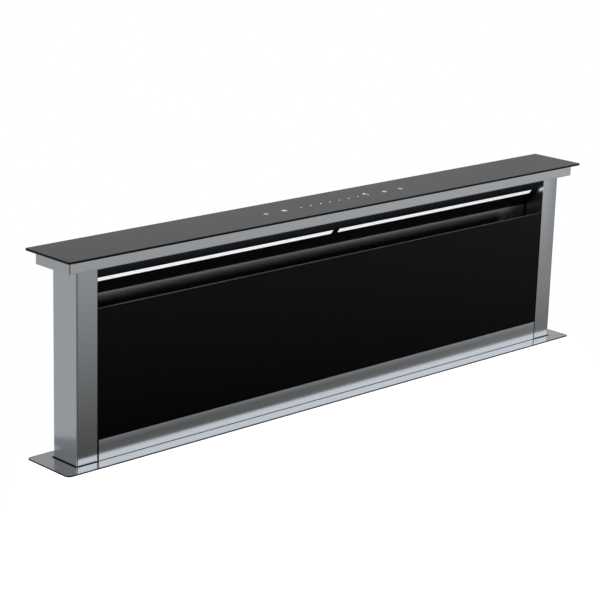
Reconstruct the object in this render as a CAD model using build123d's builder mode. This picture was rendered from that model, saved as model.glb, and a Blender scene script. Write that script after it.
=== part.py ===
"""Downdraft vent, 1.2 m class, for a worktop cut-out, with its extraction head raised.

The frame: +X runs along the vent to the right, -Y is the front, and +Z is up. The origin is the
centre of the worktop cut-out, in the plane of the worktop, which is the underside of the flange.
All sizes are in millimetres.
"""

import os
from math import asin, atan2, cos, degrees, hypot, pi, radians, sin, sqrt, tan

from build123d import *

os.makedirs("parts", exist_ok=True)

# ---------------------------------------------------------------- driving dimensions
# The head, as it stands above the worktop
head_width = 1113.0  # over the outer faces of the two columns
head_depth = 58.0  # front of the columns to their back
column_width = 40.0
extraction_height = 307.6  # flange top to the underside of the tray
band_height = 34.0  # steel band between the flange and the front glass
slot_height = 64.8  # open intake between the front glass and the tray
panel_seam = 2.2  # dark joint between a column and the panels beside it
glass_seam = 0.8  # joint between the band and the front glass
skirt = 80.0  # how far the raised head still reaches below the flange's underside
head_sheet = 1.2  # folded steel of the columns, tray and back
bend_radius = 2.6  # outside of a fold

# The cap: a steel tray with a glass lid that overhangs it
tray_end_overhang = 22.5  # past the columns
tray_side_overhang = 12.5
tray_height = 20.0
tray_lip = 8.0
glass_end_overhang = 9.5  # past the tray
glass_side_overhang = 12.5
top_glass_thickness = 3.8
glass_corner = 2.5
glass_bevel = 0.5

# The worktop flange and the gap that the head rises through
flange_end_lap = 19.0  # past the chassis, over the worktop
flange_side_lap = 9.0
flange_thickness = 2.2
flange_corner = 8.0
flange_edge = 0.4
flange_step = 0.3  # how far the flange is pressed up where it lies on the chassis
flange_step_clearance = 0.5
end_gap = 3.0
side_gap = 1.5
seal_height = 4.0
seal_clearance = 0.6
seal_chamfer = 1.0
closing_gap = 1.3  # between the lowered tray and the flange

# Inside the intake
air_depth = 40.4  # front of the head to the back wall of the air channel
light_drop = 54.7  # fall of the slanted light panel from the tray to the back wall
led_distance = 32.4  # from the front edge of the light panel to the middle of a light
led_width = 9.0
led_inner_end = 7.5
led_end_margin = 13.0  # from the outer end of a light to the side liner
led_clearance = 0.2
diffuser_depth = 4.0
diffuser_rebate = 2.0
board_thickness = 1.6
liner_thickness = 1.5
rear_return = 8.0
channel_return = 7.0
light_return = 14.0
band_return = 10.0

# The lift-off front panel and the grease filters behind it
front_glass_thickness = 4.0
carrier_sheet = 1.0
carrier_depth = 5.0
carrier_inset = 3.5
shelf_lip = 6.0
shelf_lip_gap = 1.0
magnet_height = 12.0
magnet_margin = 20.0
filter_height = 190.0
filter_thickness = 8.0
filter_border = 10.0
filter_mesh = 2.0
filter_bar = 6.0
filter_columns = 8
filter_rows = 3
filter_gap = 0.3
filter_front_gap = 0.9
filter_end_gap = 2.0

# The chassis that hangs below the worktop
chassis_end_room = 15.0  # from the head to the outside of the chassis
chassis_side_room = 15.0
chassis_sheet = 1.2
chassis_return = 12.0
floor_end_gap = 1.0
bead_rows = 3  # stiffening beads pressed into the back
bead_spacing = 110.0
bead_end_margin = 70.0
bead_width = 16.0
bead_depth = 2.5
bead_slope = 30.0  # degrees
rivet_rows = 6
rivet_spacing = 70.0
rivet_radius = 2.4
rivet_height = 1.2

# The lift: two screws in the columns, joined by a belt under the chassis floor
screw_radius = 6.0
screw_chamfer = 1.5
journal_radius = 5.0
journal_length_over = 0.3  # how far the journal stands out above its bearing
running_clearance = 0.05
press_clearance = 0.02
nut_radius = 12.0
nut_flange_radius = 17.0
nut_flange = 4.0
nut_height = 24.0
nut_chamfer = 1.5
bracket_thickness = 3.0
bracket_upstand = 30.0
bracket_clearance = 0.2
screw_top_below_worktop = 14.0
bearing_height = 10.0
bearing_radius = 16.0
bearing_collar_radius = 9.0
bearing_collar = 2.8
bearing_plate = 38.4  # width of the square plate under a bearing
bearing_plate_corner = 4.0
lowered_clearance = 4.0  # from the lowered nuts to the bearings
pulley_radius = 14.0
motor_pulley_radius = 10.0
pulley_teeth_pitch = 3.14
tooth_depth = 0.8
pulley_flange = 1.5
pulley_rim = 3.0
belt_width = 9.0
belt_thickness = 1.5
belt_side_play = 1.0
belt_clearance = 0.1
drive_gap = 1.0
cover_margin = 10.0
motor_x = -300.0
motor_y = -78.0
shaft_radius = 3.0
motor_can_radius = 21.0
motor_can_height = 62.0
motor_can_edge = 3.0
gearbox_width = 50.0
gearbox_height = 34.0
gearbox_corner = 5.0
gearbox_spigot_play = 0.3
shaft_length = 23.8  # of the motor's shaft inside the gearbox
motor_shelf_sheet = 2.0
motor_shelf_upstand = 24.0
motor_shelf_upstand_width = 70.0

# Guide rails and shoes at the two ends
rail_width = 28.0
rail_head_gap = 3.0  # from the head to the open side of a rail
rail_wall = 1.5
rail_end_gap = 8.0
shoe_drop = 7.0  # from the top of the rail to the raised shoe
shoe_height = 60.0
shoe_chamfer = 2.0
shoe_screw_spacing = 24.0
shoe_screw_radius = 2.2
shoe_screw_recess_radius = 4.2
shoe_screw_recess = 5.0
shoe_gap = 0.3
shoe_flange = 2.5
shoe_flange_width = 34.0
switch_width = 10.0
switch_height = 20.0
switch_gap = 3.0  # from the rail to a switch
switch_upper_z = -20.0
switch_lower_rise = 40.0
switch_plunger_radius = 1.5
switch_plunger = 1.0

# The blower on the front of the chassis
fan_x = -60.0
fan_z = -205.0
fan_radius = 95.0
fan_eye_radius = 79.0
fan_blades = 36
blade_thickness = 1.2
blade_lead = 12.0  # degrees that a blade's outer edge leads its inner edge
blade_bow = 8.0  # how far along the radius a blade has bent forward by a quarter of its lead
fan_ring = 3.0
fan_inlet_gap = 8.5
fan_cover_gap = 36.0
fan_dish_radius = 50.0
fan_dish_depth = 46.0
fan_dish_taper = 4.0
fan_boss = 6.0
scroll_clearance = 8.0
scroll_step = 14.0
scroll_depth = 150.0
scroll_sheet = 1.5
scroll_lip = 9.0
outlet_height = 100.0
outlet_reach = 175.0
outlet_corner = 4.0
tongue_radius = 6.0
inlet_radius = 76.0
inlet_throat_radius = 70.0
inlet_ring_depth = 12.0
blower_motor_radius = 40.0
motor_dish_gap = 8.0
blower_motor_edge = 4.0
blower_motor_flange = 3.0
blower_motor_flange_radius = 47.0
cover_dome_radius = 52.0
cover_dome = 6.0
cover_dome_taper = 30.0
cover_slots = 12
cover_slot_length = 14.0
cover_slot_width = 4.0
cover_slot_place = 26.0
blower_shaft_radius = 4.0

# The duct outlet, for 150 mm round duct
duct_radius = 75.0
collar_wall = 1.5
adaptor_length = 70.0
collar_length = 62.0
collar_bead = 2.0
collar_chassis_gap = 0.6
damper_place = 16.0  # from the adaptor to the damper's spindle
damper_pin_radius = 1.5
damper_barrel_radius = 3.0
damper_thickness = 1.0
damper_clearance = 1.2
damper_play = 0.1
damper_middle_gap = 0.4
damper_front_barrels = 28.0  # length of each of the front flap's two barrels
damper_rear_barrel = 40.0
damper_barrel_gap = 2.0

# Boxes and brackets
control_width = 140.0
control_height = 170.0
control_depth = 46.0
control_wall = 2.0
control_corner = 5.0
control_post_radius = 4.0
control_post_inset = 9.0
control_lid_edge = 0.8
control_end_distance = 140.0  # from the left end of the chassis to the middle of the box
control_top = -60.0
gland_nut_radius = 10.0
gland_nut = 6.0
gland_dome = 10.0
gland_dome_radius = 8.5
gland_edge = 3.0
gland_bore = 4.2
side_bracket_reach = 9.0
side_bracket_sheet = 2.0
side_bracket_foot = 40.0
side_bracket_inset = 12.0  # from the end of the chassis to the bracket's screws
side_bracket_height = 60.0
side_bracket_depth = 42.0
side_bracket_top = -100.0
side_hole_radius = 2.6
side_hole_spacing = 40.0
screw_head_radius = 3.2
screw_head_height = 2.2
touch_width = 360.0
touch_depth = 44.0
touch_x = 4.5
touch_corner = 4.0
touch_rim = 6.0
touch_recess = 1.0

# ---------------------------------------------------------------- places that follow
head_front = -head_depth / 2
head_back = head_depth / 2
tray_width = head_width + 2 * tray_end_overhang
tray_depth = head_depth + 2 * tray_side_overhang
top_glass_width = tray_width + 2 * glass_end_overhang
top_glass_depth = tray_depth + 2 * glass_side_overhang
chassis_width = head_width + 2 * chassis_end_room
chassis_depth = head_depth + 2 * chassis_side_room
flange_width = chassis_width + 2 * flange_end_lap
flange_depth = chassis_depth + 2 * flange_side_lap
column_inner_x = head_width / 2 - column_width
tray_bottom = flange_thickness + extraction_height
tray_top = tray_bottom + tray_height
band_top = flange_thickness + band_height
front_glass_top = tray_bottom - slot_height
front_glass_bottom = band_top + glass_seam
panel_half = column_inner_x - panel_seam
liner_x = column_inner_x
led_outer_end = liner_x - led_end_margin
skirt_bottom = -skirt
channel_back = head_front + air_depth
lift_travel = extraction_height - closing_gap
screw_x = head_width / 2 - column_width / 2
carrier_half = panel_half - carrier_inset
carrier_front = head_front + front_glass_thickness
carrier_top = front_glass_top - carrier_inset

nut_bottom = skirt_bottom - nut_flange
bearing_top = nut_bottom - lift_travel - lowered_clearance
floor_top = bearing_top - bearing_height
floor_bottom = floor_top - chassis_sheet
chassis_inner_y = chassis_depth / 2 - chassis_sheet
chassis_inner_x = chassis_width / 2 - chassis_sheet
chassis_front = -chassis_depth / 2
chassis_top = flange_step
chassis_middle_z = (chassis_top + floor_bottom) / 2
rivet_x = chassis_inner_x - chassis_return / 2
control_x = -chassis_width / 2 + control_end_distance
rail_depth = chassis_inner_x - head_width / 2 - rail_head_gap
switch_offset = (rail_width + switch_width) / 2 + switch_gap
pulley_top = floor_bottom - bearing_collar - drive_gap
pulley_height = belt_width + 2 * belt_side_play + 2 * pulley_flange
pulley_bottom = pulley_top - pulley_height
belt_bottom = pulley_bottom + pulley_flange + belt_side_play
screw_teeth = round(2 * pi * pulley_radius / pulley_teeth_pitch)
motor_teeth = round(2 * pi * motor_pulley_radius / pulley_teeth_pitch)
journal_end = pulley_bottom - drive_gap
cover_bottom = journal_end - drive_gap - chassis_sheet * 2
sides = (("left", -1), ("right", 1))


def save(piece, name):
    """Labels a finished piece and writes it as one file."""
    piece.part.label = name
    export_step(piece.part, f"parts/{name}.step")


# ---------------------------------------------------------------- worktop flange and seal
with BuildPart() as worktop_flange:
    with BuildSketch():
        RectangleRounded(flange_width, flange_depth, flange_corner)
        Rectangle(head_width + 2 * end_gap, head_depth + 2 * side_gap, mode=Mode.SUBTRACT)
    extrude(amount=flange_thickness)
    chamfer(worktop_flange.faces().sort_by(Axis.Z)[-1].outer_wire().edges(), flange_edge)
    with BuildSketch():
        Rectangle(chassis_width + 2 * flange_step_clearance, chassis_depth + 2 * flange_step_clearance)
    extrude(amount=flange_step, mode=Mode.SUBTRACT)
save(worktop_flange, "worktop_flange")

with BuildPart() as flange_seal:
    seal_half_x = chassis_inner_x - seal_clearance
    seal_half_y = chassis_inner_y - chassis_sheet - seal_clearance
    with BuildSketch(Plane.XY.offset(chassis_top)):
        Rectangle(2 * seal_half_x, 2 * seal_half_y)
        Rectangle(head_width + 2 * seal_clearance, head_depth + 2 * seal_clearance, mode=Mode.SUBTRACT)
    extrude(amount=-seal_height)
    seal_lip = flange_seal.faces().sort_by(Axis.Z)[-1].inner_wires()[0].edges()
    chamfer(seal_lip, seal_chamfer)
save(flange_seal, "flange_seal")

# ---------------------------------------------------------------- chassis
with BuildPart() as chassis_front_panel:
    with BuildSketch(Plane.XZ.offset(-chassis_front)):
        with Locations((0, chassis_middle_z)):
            Rectangle(chassis_width, chassis_top - floor_bottom)
        with Locations((fan_x, fan_z)):
            Circle(inlet_radius, mode=Mode.SUBTRACT)
    extrude(amount=-chassis_sheet)
save(chassis_front_panel, "chassis_front_panel")

with BuildPart() as chassis_rear_panel:
    bead_length = chassis_width - 2 * bead_end_margin
    bead_wall = 2 * chassis_sheet * (1 / cos(radians(bead_slope)) - tan(radians(bead_slope)))
    with BuildSketch(Plane.XZ.offset(-chassis_depth / 2)):
        with Locations((0, chassis_middle_z)):
            Rectangle(chassis_width, chassis_top - floor_bottom)
    extrude(amount=chassis_sheet)
    with BuildSketch(Plane.XZ.offset(chassis_sheet - chassis_depth / 2)):
        with Locations((0, chassis_middle_z)):
            with GridLocations(0, bead_spacing, 1, bead_rows):
                SlotOverall(bead_length, bead_width)
    extrude(amount=bead_depth, taper=bead_slope)
    with BuildSketch(Plane.XZ.offset(-chassis_depth / 2)):
        with Locations((0, chassis_middle_z)):
            with GridLocations(0, bead_spacing, 1, bead_rows):
                SlotOverall(bead_length - bead_wall, bead_width - bead_wall)
    extrude(amount=bead_depth, taper=bead_slope, mode=Mode.SUBTRACT)
save(chassis_rear_panel, "chassis_rear_panel")

for side_name, side in sides:
    with BuildPart() as chassis_end:
        with BuildSketch(Plane.XY.offset(floor_bottom)):
            with BuildLine():
                Polyline(
                    (side * (chassis_inner_x - chassis_return), -chassis_inner_y),
                    (side * chassis_width / 2, -chassis_inner_y),
                    (side * chassis_width / 2, chassis_inner_y),
                    (side * (chassis_inner_x - chassis_return), chassis_inner_y),
                )
                offset(amount=chassis_sheet, side=Side.LEFT if side > 0 else Side.RIGHT, closed=True)
            make_face()
        extrude(amount=chassis_top - floor_bottom)
    save(chassis_end, f"chassis_end_{side_name}")

with BuildPart() as chassis_floor:
    floor_half = chassis_inner_x - chassis_return - floor_end_gap
    with BuildSketch(Plane.YZ.offset(-floor_half)):
        with BuildLine():
            Polyline(
                (-chassis_inner_y, floor_bottom + chassis_return),
                (-chassis_inner_y, floor_bottom),
                (chassis_inner_y, floor_bottom),
                (chassis_inner_y, floor_bottom + chassis_return),
            )
            offset(amount=chassis_sheet, side=Side.LEFT, closed=True)
        make_face()
    extrude(amount=2 * floor_half)
    with Locations((-screw_x, 0, floor_top), (screw_x, 0, floor_top)):
        Hole(bearing_collar_radius + running_clearance)
save(chassis_floor, "chassis_floor")

# ---------------------------------------------------------------- guide rails and shoes
for side_name, side in sides:
    with BuildPart() as guide_rail:
        with BuildSketch(Plane.XY.offset(bearing_top)):
            with Locations((side * (chassis_inner_x - rail_depth / 2), 0)):
                Rectangle(rail_depth, rail_width)
            with Locations((side * (chassis_inner_x - rail_wall - rail_depth / 2), 0)):
                Rectangle(rail_depth, rail_width - 2 * rail_wall, mode=Mode.SUBTRACT)
        extrude(amount=-bearing_top - rail_end_gap)
    save(guide_rail, f"guide_rail_{side_name}")

    with BuildPart() as glide_shoe:
        shoe_top = -rail_end_gap - shoe_drop
        head_face = side * head_width / 2
        shoe_tip = side * (chassis_inner_x - rail_wall - shoe_gap)
        with BuildSketch(Plane.XY.offset(shoe_top - shoe_height)):
            with Locations(((head_face + shoe_tip) / 2, 0)):
                Rectangle(abs(shoe_tip - head_face), rail_width - 2 * (rail_wall + shoe_gap))
            with Locations((head_face + side * shoe_flange / 2, 0)):
                Rectangle(shoe_flange, shoe_flange_width)
        extrude(amount=shoe_height)
        shoe_ends = glide_shoe.faces().sort_by(Axis.X)[-1 if side > 0 else 0].edges().filter_by(Axis.Y)
        chamfer(shoe_ends, shoe_chamfer)
        shoe_face = Plane((shoe_tip, 0, shoe_top - shoe_height / 2), x_dir=(0, 1, 0), z_dir=(side, 0, 0))
        with Locations(shoe_face):
            with GridLocations(0, shoe_screw_spacing, 1, 2):
                CounterBoreHole(shoe_screw_radius, shoe_screw_recess_radius, shoe_screw_recess)
    save(glide_shoe, f"glide_shoe_{side_name}")

with BuildPart() as limit_switches:
    switch_face = Plane.YZ.offset(chassis_inner_x - switch_width)
    for switch_z in (switch_upper_z, bearing_top + switch_lower_rise):
        with BuildSketch(switch_face):
            with Locations((switch_offset, switch_z)):
                Rectangle(switch_width, switch_height)
        extrude(amount=switch_width)
        with BuildSketch(switch_face):
            with Locations((switch_offset, switch_z)):
                Circle(switch_plunger_radius)
        extrude(amount=-switch_plunger)
save(limit_switches, "limit_switches")

# ---------------------------------------------------------------- lift screws, nuts and drive
screw_places = [(side * screw_x, 0) for _, side in sides]
journal_top = bearing_top + journal_length_over
with BuildPart() as screw_bearings:
    for place_x, place_y in screw_places:
        with BuildSketch(Plane.XY.offset(floor_top)):
            with Locations((place_x, place_y)):
                RectangleRounded(bearing_plate, bearing_plate, bearing_plate_corner)
        extrude(amount=bearing_height / 3)
        with BuildSketch(Plane.XY.offset(floor_top)):
            with Locations((place_x, place_y)):
                Circle(bearing_radius)
        extrude(amount=bearing_height)
        with BuildSketch(Plane.XY.offset(floor_top)):
            with Locations((place_x, place_y)):
                Circle(bearing_collar_radius)
        extrude(amount=-(chassis_sheet + bearing_collar))
    with Locations(*[(x, y, bearing_top) for x, y in screw_places]):
        Hole(journal_radius + running_clearance)
save(screw_bearings, "screw_bearings")

for side_name, side in sides:
    axis_x = side * screw_x
    with BuildPart() as lead_screw:
        with BuildSketch(Plane.XZ):
            with BuildLine():
                Polyline(
                    (axis_x, journal_end),
                    (axis_x + journal_radius, journal_end),
                    (axis_x + journal_radius, journal_top),
                    (axis_x + screw_radius, journal_top),
                    (axis_x + screw_radius, -screw_top_below_worktop - screw_chamfer),
                    (axis_x + screw_radius - screw_chamfer, -screw_top_below_worktop),
                    (axis_x, -screw_top_below_worktop),
                    close=True,
                )
            make_face()
        revolve(axis=Axis((axis_x, 0, 0), (0, 0, 1)))
    save(lead_screw, f"lead_screw_{side_name}")

    with BuildPart() as screw_pulley:
        with BuildSketch(Plane.XY.offset(pulley_bottom)):
            with Locations((axis_x, 0)):
                Circle(pulley_radius + pulley_rim)
        extrude(amount=pulley_flange)
        with BuildSketch(Plane.XY.offset(pulley_top)):
            with Locations((axis_x, 0)):
                Circle(pulley_radius + pulley_rim)
        extrude(amount=-pulley_flange)
        with BuildSketch(Plane.XY.offset(pulley_bottom)):
            with Locations((axis_x, 0)):
                Circle(pulley_radius)
                with PolarLocations(pulley_radius, screw_teeth):
                    Rectangle(2 * tooth_depth, pulley_teeth_pitch / 2, mode=Mode.SUBTRACT)
        extrude(amount=pulley_height)
        with Locations((axis_x, 0, pulley_top)):
            Hole(journal_radius + press_clearance)
    save(screw_pulley, f"screw_pulley_{side_name}")

    with BuildPart() as lift_nut:
        with BuildSketch(Plane.XY.offset(nut_bottom)):
            with Locations((axis_x, 0)):
                Circle(nut_flange_radius)
        extrude(amount=nut_flange)
        with BuildSketch(Plane.XY.offset(skirt_bottom)):
            with Locations((axis_x, 0)):
                Circle(nut_radius)
        extrude(amount=nut_height)
        chamfer(lift_nut.faces().sort_by(Axis.Z)[-1].edges(), nut_chamfer)
        with Locations((axis_x, 0, skirt_bottom + nut_height)):
            Hole(screw_radius + running_clearance)
    save(lift_nut, f"lift_nut_{side_name}")

    with BuildPart() as lift_bracket:
        bracket_inner = liner_x + liner_thickness + bracket_clearance
        bracket_outer = head_width / 2 - head_sheet - bracket_clearance
        bracket_depth = head_depth - 2 * (head_sheet + bracket_clearance)
        with BuildSketch(Plane.YZ.offset(side * bracket_inner)):
            with BuildLine():
                Polyline(
                    (-bracket_depth / 2, skirt_bottom + bracket_upstand),
                    (-bracket_depth / 2, skirt_bottom),
                    (bracket_depth / 2, skirt_bottom),
                    (bracket_depth / 2, skirt_bottom + bracket_upstand),
                )
                offset(amount=bracket_thickness, side=Side.LEFT, closed=True)
            make_face()
        extrude(amount=side * (bracket_outer - bracket_inner))
        outer_end = lift_bracket.faces().sort_by(Axis.X)[-1 if side > 0 else 0]
        uprights = outer_end.edges().filter_by(Axis.Z).sort_by(Axis.Y)
        fillet([uprights[0], uprights[-1]], bend_radius - head_sheet)
        with Locations((axis_x, 0, skirt_bottom + bracket_thickness)):
            Hole(nut_radius + running_clearance)
    save(lift_bracket, f"lift_bracket_{side_name}")

with BuildPart() as motor_pulley:
    with BuildSketch(Plane.XY.offset(pulley_bottom)):
        with Locations((motor_x, motor_y)):
            Circle(motor_pulley_radius + pulley_rim)
    extrude(amount=pulley_flange)
    with BuildSketch(Plane.XY.offset(pulley_top)):
        with Locations((motor_x, motor_y)):
            Circle(motor_pulley_radius + pulley_rim)
    extrude(amount=-pulley_flange)
    with BuildSketch(Plane.XY.offset(pulley_bottom)):
        with Locations((motor_x, motor_y)):
            Circle(motor_pulley_radius)
            with PolarLocations(motor_pulley_radius, motor_teeth):
                Rectangle(2 * tooth_depth, pulley_teeth_pitch / 2, mode=Mode.SUBTRACT)
    extrude(amount=pulley_height)
    with BuildSketch(Plane.XY.offset(pulley_top)):
        with Locations((motor_x, motor_y)):
            Circle(shaft_radius)
    extrude(amount=shaft_length)
save(motor_pulley, "motor_pulley")


def around_pulleys(margin):
    """The convex outline that lies outside all three pulleys by the margin."""
    with Locations((-screw_x, 0), (screw_x, 0)):
        Circle(pulley_radius + margin)
    with Locations((motor_x, motor_y)):
        Circle(motor_pulley_radius + margin)
    make_hull()


with BuildPart() as drive_belt:
    with BuildSketch(Plane.XY.offset(belt_bottom)) as belt_outside:
        around_pulleys(belt_clearance + belt_thickness)
    extrude(amount=belt_width)
    with BuildSketch(Plane.XY.offset(belt_bottom)) as belt_inside:
        around_pulleys(belt_clearance)
    extrude(amount=belt_width, mode=Mode.SUBTRACT)
save(drive_belt, "drive_belt")

with BuildPart() as drive_cover:
    with BuildSketch(Plane.XY.offset(cover_bottom)):
        around_pulleys(cover_margin)
    extrude(amount=floor_bottom - cover_bottom)
    with BuildSketch(Plane.XY.offset(cover_bottom + chassis_sheet)):
        around_pulleys(cover_margin - chassis_sheet)
    extrude(amount=floor_bottom - cover_bottom, mode=Mode.SUBTRACT)
save(drive_cover, "drive_cover")

with BuildPart() as motor_shelf:
    with BuildSketch(Plane.XY.offset(floor_bottom)):
        around_pulleys(cover_margin)
        with Locations((0, chassis_front + chassis_depth)):
            Rectangle(chassis_width, 2 * chassis_depth, mode=Mode.SUBTRACT)
    extrude(amount=motor_shelf_sheet)
    shelf_box = motor_shelf.part.bounding_box()
    with BuildSketch(Plane.XY.offset(floor_bottom)):
        with Locations((shelf_box.center().X, chassis_front - motor_shelf_sheet / 2)):
            Rectangle(motor_shelf_upstand_width, motor_shelf_sheet)
    extrude(amount=motor_shelf_upstand)
    with Locations((motor_x, motor_y, floor_bottom + motor_shelf_sheet)):
        Hole(motor_pulley_radius)
save(motor_shelf, "motor_shelf")

with BuildPart() as lift_motor:
    motor_base = floor_bottom + motor_shelf_sheet
    with BuildSketch(Plane.XY.offset(motor_base)):
        with Locations((motor_x, motor_y)):
            RectangleRounded(gearbox_width, gearbox_width, gearbox_corner)
    extrude(amount=gearbox_height)
    with BuildSketch(Plane.XY.offset(motor_base + gearbox_height)):
        with Locations((motor_x, motor_y)):
            Circle(motor_can_radius)
    extrude(amount=motor_can_height)
    fillet(lift_motor.faces().sort_by(Axis.Z)[-1].edges(), motor_can_edge)
    with BuildSketch(Plane.XY.offset(motor_base)):
        with Locations((motor_x, motor_y)):
            Circle(motor_pulley_radius - gearbox_spigot_play)
    extrude(amount=-motor_shelf_sheet)
    with BuildSketch(Plane.XY.offset(floor_bottom)):
        with Locations((motor_x, motor_y)):
            Circle(shaft_radius + running_clearance)
    extrude(amount=shaft_length, mode=Mode.SUBTRACT)
save(lift_motor, "lift_motor")

# ---------------------------------------------------------------- columns and their liners
for side_name, side in sides:
    with BuildPart() as column:
        with BuildSketch(Plane.XY.offset(skirt_bottom)):
            with Locations((side * screw_x, 0)):
                Rectangle(column_width, head_depth)
        extrude(amount=tray_bottom - skirt_bottom)
        outer_face = column.faces().sort_by(Axis.X)[-1 if side > 0 else 0]
        fillet(outer_face.edges().filter_by(Axis.Z), bend_radius)
        with BuildSketch(Plane.XY.offset(skirt_bottom)) as hollow:
            with Locations((side * (screw_x - head_sheet), 0)):
                Rectangle(column_width, head_depth - 2 * head_sheet)
            corners = hollow.vertices().sort_by(Axis.X)
            fillet(corners[2:] if side > 0 else corners[:2], bend_radius - head_sheet)
        extrude(amount=tray_bottom - skirt_bottom, mode=Mode.SUBTRACT)
    save(column, f"column_{side_name}")

    with BuildPart() as side_liner:
        with BuildSketch(Plane.XY.offset(skirt_bottom)):
            with Locations((side * (liner_x + liner_thickness / 2), 0)):
                Rectangle(liner_thickness, head_depth - 2 * head_sheet)
        extrude(amount=tray_bottom - skirt_bottom)
    save(side_liner, f"side_liner_{side_name}")

# ---------------------------------------------------------------- cap: tray, touch module, glass
with BuildPart() as top_tray:
    with BuildSketch(Plane.XY.offset(tray_bottom)):
        RectangleRounded(tray_width, tray_depth, bend_radius)
    extrude(amount=tray_height)
    fillet(top_tray.faces().sort_by(Axis.Z)[0].edges(), head_sheet)
    with BuildSketch(Plane.XY.offset(tray_bottom + head_sheet)):
        RectangleRounded(tray_width - 2 * head_sheet, tray_depth - 2 * head_sheet, bend_radius - head_sheet)
    extrude(amount=tray_height - 2 * head_sheet, mode=Mode.SUBTRACT)
    with BuildSketch(Plane.XY.offset(tray_top)):
        Rectangle(tray_width - 2 * tray_lip, tray_depth - 2 * tray_lip)
    extrude(amount=-2 * head_sheet, mode=Mode.SUBTRACT)
save(top_tray, "top_tray")

with BuildPart() as touch_module:
    with BuildSketch(Plane.XY.offset(tray_bottom + head_sheet)):
        with Locations((touch_x, 0)):
            RectangleRounded(touch_width, touch_depth, touch_corner)
    extrude(amount=tray_height - head_sheet)
    with BuildSketch(Plane.XY.offset(tray_top)):
        with Locations((touch_x, 0)):
            Rectangle(touch_width - 2 * touch_rim, touch_depth - 2 * touch_rim)
    extrude(amount=-touch_recess, mode=Mode.SUBTRACT)
save(touch_module, "touch_module")

with BuildPart() as top_glass:
    with BuildSketch(Plane.XY.offset(tray_top)):
        RectangleRounded(top_glass_width, top_glass_depth, glass_corner)
    extrude(amount=top_glass_thickness)
    chamfer(top_glass.faces().sort_by(Axis.Z)[-1].edges(), glass_bevel)
    chamfer(top_glass.faces().sort_by(Axis.Z)[0].edges(), glass_bevel)
save(top_glass, "top_glass")

# ---------------------------------------------------------------- back panel and air channel
with BuildPart() as rear_panel:
    with BuildSketch(Plane.XY.offset(skirt_bottom)):
        with BuildLine():
            Polyline(
                (-panel_half, head_back - rear_return),
                (-panel_half, head_back),
                (panel_half, head_back),
                (panel_half, head_back - rear_return),
            )
            offset(amount=head_sheet, side=Side.RIGHT, closed=True)
        make_face()
    extrude(amount=tray_bottom - skirt_bottom)
save(rear_panel, "rear_panel")

with BuildPart() as channel_wall:
    with BuildSketch(Plane.XY.offset(skirt_bottom)):
        with BuildLine():
            Polyline(
                (-liner_x, channel_back + channel_return),
                (-liner_x, channel_back),
                (liner_x, channel_back),
                (liner_x, channel_back + channel_return),
            )
            offset(amount=carrier_sheet, side=Side.LEFT, closed=True)
        make_face()
    extrude(amount=tray_bottom - skirt_bottom)
save(channel_wall, "channel_wall")

# ---------------------------------------------------------------- slanted light panel and lights
light_length = hypot(air_depth, light_drop)
down_y = air_depth / light_length
down_z = -light_drop / light_length
light_plane = Plane(
    origin=(0, head_front + led_distance * down_y, tray_bottom + led_distance * down_z),
    x_dir=(1, 0, 0),
    z_dir=(0, down_z, -down_y),
)
led_length = led_outer_end - led_inner_end
led_middle = (led_outer_end + led_inner_end) / 2

with BuildPart() as light_panel:
    with BuildSketch(Plane.YZ.offset(-liner_x)):
        with BuildLine():
            Polyline(
                (head_front + light_return, tray_bottom),
                (head_front, tray_bottom),
                (channel_back, tray_bottom - light_drop),
                (channel_back, tray_bottom - light_drop + light_return),
            )
            offset(amount=carrier_sheet, side=Side.LEFT, closed=True)
        make_face()
    extrude(amount=2 * liner_x)
    with BuildSketch(light_plane):
        with Locations((-led_middle, 0), (led_middle, 0)):
            Rectangle(led_length, led_width)
    extrude(amount=2 * carrier_sheet, both=True, mode=Mode.SUBTRACT)
save(light_panel, "light_panel")

for side_name, side in sides:
    with BuildPart() as led_diffuser:
        with BuildSketch(light_plane):
            with Locations((side * led_middle, 0)):
                Rectangle(led_length - 2 * led_clearance, led_width - 2 * led_clearance)
        extrude(amount=-diffuser_depth)
        with BuildSketch(light_plane.offset(-carrier_sheet - led_clearance)):
            with Locations((side * led_middle, 0)):
                Rectangle(led_length + 2 * diffuser_rebate, led_width + 2 * diffuser_rebate)
        extrude(amount=-(diffuser_depth - carrier_sheet - led_clearance))
    save(led_diffuser, f"led_diffuser_{side_name}")

with BuildPart() as led_boards:
    with BuildSketch(light_plane.offset(-diffuser_depth)):
        with Locations((-led_middle, 0), (led_middle, 0)):
            Rectangle(led_length, led_width)
    extrude(amount=-board_thickness)
save(led_boards, "led_boards")

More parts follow.
